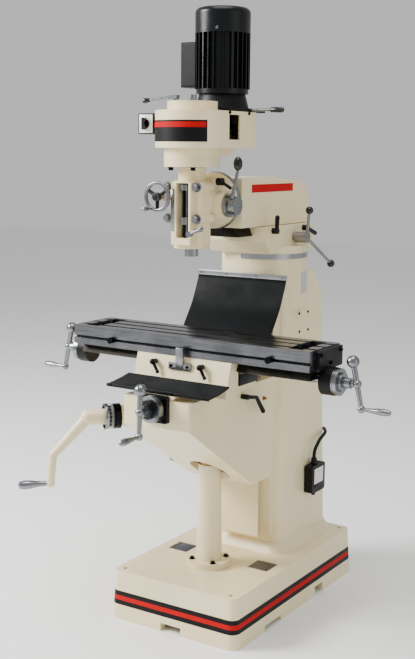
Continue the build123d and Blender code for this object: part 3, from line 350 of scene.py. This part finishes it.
def addHexHead(mesh, place, direction, across, height, washer=0.0):
    before = set(mesh.verts)
    made = bmesh.ops.create_cone(mesh, cap_ends=True, segments=6, radius1=across * mm / 1.732,
                                 radius2=across * mm / 1.732, depth=height * mm)["verts"]
    rim = [e for e in mesh.edges if all(v in made for v in e.verts) and e.verts[0].co.z > 0 < e.verts[1].co.z]
    softenEdges(mesh, rim, across * 0.07, 1)
    found = [v for v in mesh.verts if v not in before]
    bmesh.ops.translate(mesh, vec=(0, 0, (washer + height / 2) * mm), verts=found)
    if washer:
        disc = bmesh.ops.create_cone(mesh, cap_ends=True, segments=24, radius1=across * 0.85 * mm,
                                     radius2=across * 0.8 * mm, depth=washer * mm)["verts"]
        bmesh.ops.translate(mesh, vec=(0, 0, washer / 2 * mm), verts=disc)
    found = [v for v in mesh.verts if v not in before]
    turn = Vector(direction).normalized().to_track_quat("Z", "Y").to_matrix()
    bmesh.ops.rotate(mesh, cent=(0, 0, 0), matrix=turn, verts=found)
    bmesh.ops.translate(mesh, vec=Vector(place) * mm, verts=found)
    for vert in found:
        vert.tag = True


def hexHeads(name, places, direction, across, height, washer, finish, body):
    mesh = bmesh.new()
    for place in places:
        addHexHead(mesh, place, direction, across, height, washer)
    return finishPiece(name, mesh, finish, body)


def capScrews(name, places, direction, radius, height, finish, body):
    # Socket-head screws: a domed rim round a sunk hexagon-like well.
    mesh = bmesh.new()
    for place in places:
        turnOutline(mesh, [(0, height * 0.35), (radius * 0.5, height * 0.4), (radius * 0.52, height),
                           (radius * 0.9, height), (radius, height * 0.85), (radius, 0), (0, 0)],
                    place, direction, 18)
    return finishPiece(name, mesh, finish, body)


def skinPatch(name, node, low, high, lift, thick, finish, body, facing=None):
    # A film that lies on a casting: the part of its skin inside the box, lifted off by a hair.
    mesh = bmesh.new()
    mesh.from_mesh(nodes[node].data)
    bmesh.ops.remove_doubles(mesh, verts=mesh.verts, dist=1e-5)
    low, high = Vector(low) * mm, Vector(high) * mm
    for axis in range(3):
        for corner, sign in ((low, -1), (high, 1)):
            normal = Vector((0, 0, 0))
            normal[axis] = sign
            point = Vector((0, 0, 0))
            point[axis] = corner[axis]
            bmesh.ops.bisect_plane(mesh, geom=mesh.verts[:] + mesh.edges[:] + mesh.faces[:], plane_co=point,
                                   plane_no=normal, clear_outer=True)
    if facing is not None:
        away = [f for f in mesh.faces if f.normal.dot(Vector(facing)) < 0.25]
        bmesh.ops.delete(mesh, geom=away, context="FACES")
    bmesh.ops.dissolve_limit(mesh, angle_limit=math.radians(0.5), verts=mesh.verts, edges=mesh.edges)
    mesh.normal_update()
    for vert in mesh.verts:
        vert.co += vert.normal * (lift + thick) * mm
    bmesh.ops.solidify(mesh, geom=mesh.faces[:], thickness=thick * mm)
    return finishPiece(name, mesh, finish, body, 30)


def ovalOutline(radius, half, steps=12):
    return [(radius * math.sin(math.pi * i / steps), -half * math.cos(math.pi * i / steps))
            for i in range(steps + 1)]


def sleeveOutline(radius, length, tip=None):
    # A round-ended sleeve from 0 to length.
    tip = radius if tip is None else tip
    return [(0, -0.3), (radius * 0.8, -0.3), (radius, radius * 0.3), (tip, length - tip * 0.8),
            (tip * 0.7, length - tip * 0.2), (0, length)]


print("stage: films and stripes")

stripeLook = {"low": 51.7, "high": 99.6, "lift": 0.15, "thick": 0.25}
third = (stripeLook["high"] - stripeLook["low"]) / 3
for index, finish in enumerate(("blackVinyl", "redVinyl", "blackVinyl")):
    bottom = stripeLook["low"] + third * index
    baseStripeLook = {
        "node": "base", "low": (-300, -500, bottom), "high": (300, 500, bottom + third),
        "lift": stripeLook["lift"], "thick": stripeLook["thick"], "finish": finish, "body": "machine"
    }
    skinPatch(f"baseStripe{index + 1}", **baseStripeLook)

# A dark film over the table's lower ways: bare iron, with the shade under the table painted into its colour.
tableWayFilmLook = {
    "node": "table", "low": (-456.5, -340, 880), "high": (456.5, -170, 923.6), "lift": 0.02,
    "thick": 0.08, "finish": "bareIronPaintedShade", "body": "table"
}
skinPatch("tableWayFilm", **tableWayFilmLook)
stopSlotShadowLook = {
    "low": (-456, -346.5, 945.8), "high": (456, -346.1, 954.2), "bevel": 0, "finish": "blackRubber",
    "body": "table"
}
blockPiece("stopSlotShadow", **stopSlotShadowLook)
# A dark film on the ram's dovetail where it overhangs the turret: bare machined iron, with the shade of the
# undercut painted into its colour.
ramWayFilmLook = {
    "node": "ram", "low": (-80, -141, 1296), "high": (80, 361, 1332.6), "lift": 0.02, "thick": 0.08,
    "finish": "bareIronPaintedShade", "body": "ram"
}
skinPatch("ramWayFilm", **ramWayFilmLook)
ramRedBarLook = {
    "node": "ram", "low": (80, -86, 1448), "high": (90, 200, 1475), "lift": 0.1, "thick": 0.4,
    "finish": "redVinyl", "body": "ram", "facing": (1, 0, 0)
}
skinPatch("ramRedBar", **ramRedBarLook)
beltPlateLook = {
    "node": "belt_housing", "low": (-99, -450, 1612), "high": (99, -383, 1678), "lift": 0.1,
    "thick": 0.8, "finish": "blackVinyl", "body": "head", "facing": (0, -1, 0)
}
skinPatch("beltPlate", **beltPlateLook)
beltRedBarLook = {
    "node": "belt_housing", "low": (-96, -450, 1656), "high": (96, -385, 1673), "lift": 0.9,
    "thick": 0.4, "finish": "redVinyl", "body": "head", "facing": (0, -1, 0)
}
skinPatch("beltRedBar", **beltRedBarLook)
turretScaleLook = {
    "node": "turret", "low": (-8, -10, 1216), "high": (160, 254, 1234), "lift": 0.1, "thick": 0.5,
    "finish": "brushedAluminium", "body": "turret"
}
skinPatch("turretScale", **turretScaleLook)
columnPlateLook = {
    "node": "column", "low": (100, 150, 1092), "high": (170, 226, 1168), "lift": 0.1, "thick": 0.6,
    "finish": "greyLabel", "body": "machine", "facing": (1, 0, 0)
}
skinPatch("columnPlate", **columnPlateLook)
turretTicksLook = {
    "centre": (0, 156, 1216), "axis": (0, 0, 1), "radius": 153.8, "low": 9, "high": 17, "count": 67,
    "finish": "blackVinyl", "body": "turret", "span": (-88, 40), "longEvery": 5, "width": 0.8
}
dialTicks("turretTicks", **turretTicksLook)

print("stage: base and column details")

screenLook = {"bars": 9, "pitch": 9}
for side, x in (("Left", -165), ("Right", 165)):
    screenPlateLook = {
        "low": (x - 39, -149, 166.1), "high": (x + 39, -71, 167.1), "bevel": 0.2,
        "finish": "darkScreen", "body": "machine"
    }
    blockPiece(f"screenPlate{side}", **screenPlateLook)
    bars = []
    for i in range(screenLook["bars"]):
        at = -36 + screenLook["pitch"] * i
        bars.append(((x - 38, -110 + at - 1.4, 167.1), (x + 38, -110 + at + 1.4, 168.6)))
        bars.append(((x + at - 1.4, -148, 167.2), (x + at + 1.4, -72, 168.2)))
    screenBarsLook = {
        "boxes": bars, "bevel": 0.3, "finish": "turnedSteel", "body": "machine"
    }
    blocksPiece(f"screenBars{side}", **screenBarsLook)

fourAngles = (45, 135, 225, 315)
circle = [(60 * math.cos(math.radians(a)), -195 + 60 * math.sin(math.radians(a)), 192.0) for a in fourAngles]
pedestalBoltsLook = {
    "places": circle, "direction": up, "across": 13, "height": 7, "washer": 1.5,
    "finish": "blackedSteel", "body": "machine"
}
hexHeads("pedestalBolts", **pedestalBoltsLook)

lean = math.radians(1.8)
sideX = 168 - math.tan(lean) * (985 - 170)
outward = (math.cos(lean), 0, math.sin(lean))
accessCoverLook = {
    "outline": [(0, 2.6), (50, 2.6), (53.5, 2.2), (55, 0.8), (55, -3)], "place": (sideX, 190, 985),
    "direction": outward, "finish": "creamEnamel", "body": "machine", "steps": 64
}
turnedPiece("accessCover", **accessCoverLook)
accessScrewsLook = {
    "places": [(sideX + 2.6 - math.tan(lean) * 46 * math.sin(math.radians(a)),
                190 + 46 * math.cos(math.radians(a)), 985 + 46 * math.sin(math.radians(a)))
               for a in fourAngles],
    "direction": outward, "radius": 4.5, "height": 3.5, "finish": "blackedSteel", "body": "machine"
}
capScrews("accessScrews", **accessScrewsLook)
rearStripLook = {
    "low": (-180, -5.5, 1152), "high": (180, -1.5, 1169), "bevel": 0.6, "finish": "brushedAluminium",
    "body": "machine"
}
blockPiece("rearStrip", **rearStripLook)
rearStripScrewsLook = {
    "places": [(x, -5.5, 1160.5) for x in (-165, -60, 60, 165)], "direction": front, "radius": 4.2,
    "height": 2.4, "finish": "turnedSteel", "body": "machine"
}
capScrews("rearStripScrews", **rearStripScrewsLook)
switchLabelLook = {
    "low": (196.9, 206, 385), "high": (197.5, 274, 442), "bevel": 0.1, "finish": "whiteLabel",
    "body": "machine"
}
blockPiece("switchLabel", **switchLabelLook)
switchLabelFrameLook = {
    "low": (196.9, 200, 372), "high": (197.2, 280, 448), "bevel": 0.1, "finish": "blackVinyl",
    "body": "machine"
}
blockPiece("switchLabelFrame", **switchLabelFrameLook)
leadGlandLook = {
    "outline": [(6.8, 23), (9.5, 23), (10.4, 21), (10.4, 9), (12, 8), (12, 0)],
    "place": (180, 232, 455), "direction": up, "finish": "blackRubber", "body": "machine", "steps": 32
}
turnedPiece("leadGland", **leadGlandLook)

print("stage: knee details")

kneeRodLook = {
    "outline": [(0, -1), (6.5, -1), (6.5, 108), (5, 110)], "place": (-135.5, -313, 600),
    "direction": (0, 0.8, -0.6), "finish": "blackPhenolic", "body": "knee", "steps": 24
}
turnedPiece("kneeRod", **kneeRodLook)
kneeRodBallLook = {
    "outline": ovalOutline(11, 11), "place": (-135.5, -225, 534), "direction": up,
    "finish": "satinChrome", "body": "knee", "steps": 24
}
turnedPiece("kneeRodBall", **kneeRodBallLook)
kneeRodBossLook = {
    "outline": [(0, 8), (10, 8), (12, 6), (12, -2)], "place": (-129, -311, 600),
    "direction": (-1, 0, 0), "finish": "creamEnamel", "body": "knee", "steps": 28
}
turnedPiece("kneeRodBoss", **kneeRodBossLook)
oilFittingLook = {
    "outline": [(0, 13), (3, 13), (4, 11), (3, 9), (4.5, 7), (4.5, 4), (7, 4), (7, -1)],
    "place": (129, -60, 749), "direction": right, "finish": "castBronze", "body": "knee", "steps": 24
}
turnedPiece("oilFitting", **oilFittingLook)
dialAt = math.radians(-131)
dialAxis = (math.cos(dialAt), math.sin(dialAt), 0)


def alongCrank(t):
    return (t * dialAxis[0], -195 + t * dialAxis[1], 715)


kneeDialTicksLook = {
    "centre": alongCrank(314), "axis": dialAxis, "radius": 42.1, "low": 26, "high": 40, "count": 100,
    "finish": "whiteLabel", "body": "knee_crank"
}
dialTicks("kneeDialTicks", **kneeDialTicksLook)
kneeDialRingLook = {
    "outline": [(42.0, 41), (42.8, 41.4), (43, 42), (43, 52), (42.8, 52.6), (42.0, 53)],
    "place": alongCrank(314), "direction": dialAxis, "finish": "satinChrome", "body": "knee_crank",
    "steps": 72
}
turnedPiece("kneeDialRing", **kneeDialRingLook)
crossDialTicksLook = {
    "centre": (8, -545.5, 790), "axis": front, "radius": 43.1, "low": 2, "high": 10, "count": 100,
    "finish": "blackVinyl", "body": "cross_feed"
}
dialTicks("crossDialTicks", **crossDialTicksLook)
crossHubLook = {
    "outline": [(18.3, 28), (30.4, 28), (30.4, 18.2), (31, 18.1)], "place": (8, -545.5, 790),
    "direction": front, "finish": "blackPhenolic", "body": "cross_feed", "steps": 48
}
turnedPiece("crossHub", **crossHubLook)
crossBracketScrewsLook = {
    "places": [(x, -531, z) for x in (-27, 43) for z in (752, 818)], "direction": front, "radius": 6,
    "height": 5, "finish": "blackedSteel", "body": "knee"
}
capScrews("crossBracketScrews", **crossBracketScrewsLook)

print("stage: table and saddle details")

for side, sign in (("Left", -1), ("Right", 1)):
    tableDialTicksLook = {
        "centre": (sign * 497.5, -256, 886), "axis": (sign, 0, 0), "radius": 43.1, "low": 2, "high": 10,
        "count": 100, "finish": "blackVinyl", "body": "table_feed"
    }
    dialTicks(f"tableDialTicks{side}", **tableDialTicksLook)
    bracketScrewsLook = {
        "places": [(sign * 471, y, 972) for y in (-306, -174)] + [(sign * 471, -240, 940)],
        "direction": (sign, 0, 0), "radius": 6.5, "height": 5.5, "finish": "blackedSteel",
        "body": "table"
    }
    capScrews(f"bracketScrews{side}", **bracketScrewsLook)
centreStopLook = {
    "boxes": [((-46, -381, 884), (38, -366, 908)), ((-16, -384, 890), (12, -373, 956))], "bevel": 1.0,
    "finish": "brushedAluminium", "body": "saddle"
}
blocksPiece("centreStop", **centreStopLook)
centreStopScrewsLook = {
    "places": [(x, -381, 896) for x in (-36, 28)], "direction": front, "radius": 5, "height": 4,
    "finish": "blackedSteel", "body": "saddle"
}
capScrews("centreStopScrews", **centreStopScrewsLook)
# A thin black block on the saddle's right flank, where the saddle narrows behind its front wing.
saddleBlackBlockLook = {
    "low": (150, -265, 830), "high": (157, -150, 866), "bevel": 1.0, "finish": "blackRubber",
    "body": "saddle"
}
blockPiece("saddleBlackBlock", **saddleBlackBlockLook)

print("stage: head details")

for side, x in (("Left", -55), ("Right", 55)):
    clampNutsLook = {
        "places": [(x, -372, 1372), (x, -372, 1472)], "direction": front, "across": 19, "height": 13,
        "washer": 2.5, "finish": "turnedSteel", "body": "head"
    }
    hexHeads(f"clampNuts{side}", **clampNutsLook)
quillScaleLook = {
    "low": (-30, -393.2, 1332), "high": (-17, -391.8, 1465), "bevel": 0.3, "finish": "brushedAluminium",
    "body": "head"
}
blockPiece("quillScale", **quillScaleLook)
marks = [((-29.5, -393.4, 1334 + 5 * i), (-22 if i % 5 else -18.5, -393.1, 1334.7 + 5 * i))
         for i in range(26)]
quillMarksLook = {
    "boxes": marks, "bevel": 0, "finish": "blackVinyl", "body": "head"
}
blocksPiece("quillMarks", **quillMarksLook)
gearBoltsLook = {
    "places": [(-42, -376, 1534), (42, -376, 1534)], "direction": (0, 0, -1), "across": 14,
    "height": 10, "washer": 1.5, "finish": "blackedSteel", "body": "head"
}
hexHeads("gearBolts", **gearBoltsLook)
beltBoltsLook = {
    "places": [(116, -283, 1704), (116, -165, 1704)], "direction": right, "radius": 5, "height": 5,
    "finish": "blackedSteel", "body": "head"
}
capScrews("beltBolts", **beltBoltsLook)
headSwitchPlateLook = {
    "low": (-188, -345.42, 1640), "high": (-136, -344.9, 1698), "bevel": 0.05, "finish": "whiteLabel",
    "body": "head"
}
blockPiece("headSwitchPlate", **headSwitchPlateLook)
gearSeamLook = {
    "outline": [(90, -3), (90.9, -2.6), (91, 2), (90, 2.4)], "place": (0, -318, 1560), "direction": up,
    "finish": "creamEnamel", "body": "head", "steps": 72
}
turnedPiece("gearSeam", **gearSeamLook)
feedKnobLook = {
    "outline": ovalOutline(14.7, 22.4, 16), "place": (140, -267, 1545), "direction": up,
    "finish": "blackPhenolic", "body": "feed_lever"
}
turnedPiece("feedKnob", **feedKnobLook)
for name, place in (("pinionKnobUp", (172, 165, 1383)), ("pinionKnobDown", (198, 290, 1189))):
    pinionKnobLook = {
        "outline": ovalOutline(14, 14, 14), "place": place, "direction": up, "finish": "blackPhenolic",
        "body": "ram_pinion", "steps": 32
    }
    turnedPiece(name, **pinionKnobLook)
clampGripLook = {
    "outline": sleeveOutline(8.2, 48, 9.5), "place": (184, -142, 1716), "direction": right,
    "finish": "blackPhenolic", "body": "motor_clamp", "steps": 28
}
turnedPiece("clampGrip", **clampGripLook)
brakeKnobLook = {
    "outline": sleeveOutline(7.0, 26, 8.5), "place": (-124, -377.8, 1742), "direction": (-22, -2, -3),
    "finish": "blackPhenolic", "body": "brake_lever", "steps": 28
}
turnedPiece("brakeKnob", **brakeKnobLook)
for index in range(3):
    angle = math.radians(30 + 120 * index)
    wheelSpokeLook = {
        "outline": [(6.6, 11), (6.4, 12), (5.7, 38)], "place": (-66, -416, 1440),
        "direction": (math.cos(angle), 0, math.sin(angle)), "finish": "blackEnamel",
        "body": "fine_feed_wheel", "steps": 24
    }
    turnedPiece(f"wheelSpoke{index + 1}", **wheelSpokeLook)
wheelHubLook = {
    "outline": [(0, 19), (9, 19), (13.4, 17), (13.5, 2)], "place": (-66, -410, 1440),
    "direction": front, "finish": "blackEnamel", "body": "fine_feed_wheel", "steps": 32
}
turnedPiece("wheelHub", **wheelHubLook)
fanScrewsLook = {
    "places": [(90.5 * math.sin(math.radians(a)), -142 - 90.5 * math.cos(math.radians(a)), 1972)
               for a in (20,)],
    "direction": (math.sin(math.radians(20)), -math.cos(math.radians(20)), 0), "radius": 4.5,
    "height": 3, "finish": "turnedSteel", "body": "motor"
}
capScrews("fanScrews", **fanScrewsLook)

print("stage: way covers")


def sheetAlong(name, path, halfWidth, thick, finish, sag=0.0, columns=24):
    # A rubber sheet swept along X: path is (y, z) points in millimetres, sag lowers the middle of each row.
    mesh = bmesh.new()
    rows = []
    for index, (y, z) in enumerate(path):
        share = math.sin(math.pi * index / (len(path) - 1))
        row = []
        for c in range(columns + 1):
            x = -halfWidth + 2 * halfWidth * c / columns
            dip = sag * share * (1 - (x / halfWidth) ** 2)
            row.append(mesh.verts.new((x * mm, y * mm, (z - dip) * mm)))
        rows.append(row)
    for above, below in zip(rows[:-1], rows[1:]):
        for c in range(columns):
            mesh.faces.new((above[c], above[c + 1], below[c + 1], below[c]))
    bmesh.ops.recalc_face_normals(mesh, faces=mesh.faces)
    bmesh.ops.solidify(mesh, geom=mesh.faces[:], thickness=thick * mm)
    length = sum(math.dist(a, b) for a, b in zip(path[:-1], path[1:])) * mm
    return finishPiece(name, mesh, finish, None, 60), (2 * halfWidth * mm, length)


frontCoverLook = {"halfWidth": 197, "thick": 1.6, "finish": "sheetRubber", "sag": 4.0}
pleatLook = {"pleats": 15, "steps": 8, "startY": -509, "run": 113, "startZ": 838, "rise": 16, "height": 2.6}
pleatSteps = pleatLook["pleats"] * pleatLook["steps"]
pleatPath = []
for i in range(pleatSteps + 1):
    share = i / pleatSteps
    wave = pleatLook["height"] * math.cos(math.tau * pleatLook["pleats"] * share)
    pleatPath.append((pleatLook["startY"] + pleatLook["run"] * share,
                      pleatLook["startZ"] + pleatLook["rise"] * share ** 1.5 + wave))
frontCover, frontFlat = sheetAlong("frontCover", pleatPath, **frontCoverLook)
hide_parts("front_cover")
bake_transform(frontCover)
frontCoverStripLook = {
    "low": (-197, -514, 831), "high": (197, -509, 841), "bevel": 0.6, "finish": "blackEnamel",
    "body": "knee"
}
blockPiece("frontCoverStrip", **frontCoverStripLook)
frontCoverScrewsLook = {
    "places": [(x, -514, 836) for x in (-180, -60, 60, 180)], "direction": front, "radius": 3.6,
    "height": 2.2, "finish": "blackedSteel", "body": "knee"
}
capScrews("frontCoverScrews", **frontCoverScrewsLook)

rearCoverLook = {"halfWidth": 177, "thick": 2.4, "finish": "sheetRubber"}
hangLook = {"seamZ": 1030, "steps": 10, "smoothing": 6}
hangPath = []
corners = [(-3, 1160), (-7, 1140), (-46, 1055), (-104, 975), (-139, 920), (-143, 864)]
for (y0, z0), (y1, z1) in zip(corners[:-1], corners[1:]):
    for i in range(hangLook["steps"]):
        hangPath.append((y0 + (y1 - y0) * i / hangLook["steps"], z0 + (z1 - z0) * i / hangLook["steps"]))
hangPath.append(corners[-1])
for turn in range(hangLook["smoothing"]):
    threes = zip(hangPath[:-2], hangPath[1:-1], hangPath[2:])
    middle = [tuple((a + 2 * b + c) / 4 for a, b, c in zip(*three)) for three in threes]
    hangPath = [hangPath[0]] + middle + [hangPath[-1]]
seam = min(range(len(hangPath)), key=lambda i: abs(hangPath[i][1] - hangLook["seamZ"]))
upperCover, upperFlat = sheetAlong("rearCoverUpper", hangPath[:seam + 1], **rearCoverLook)
lowerCover, lowerFlat = sheetAlong("rearCoverLower", hangPath[seam:], **rearCoverLook)
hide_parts("rear_cover")
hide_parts("rear_cover")
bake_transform(upperCover)
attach(lowerCover, "knee")
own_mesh(lowerCover)

print("views ready")
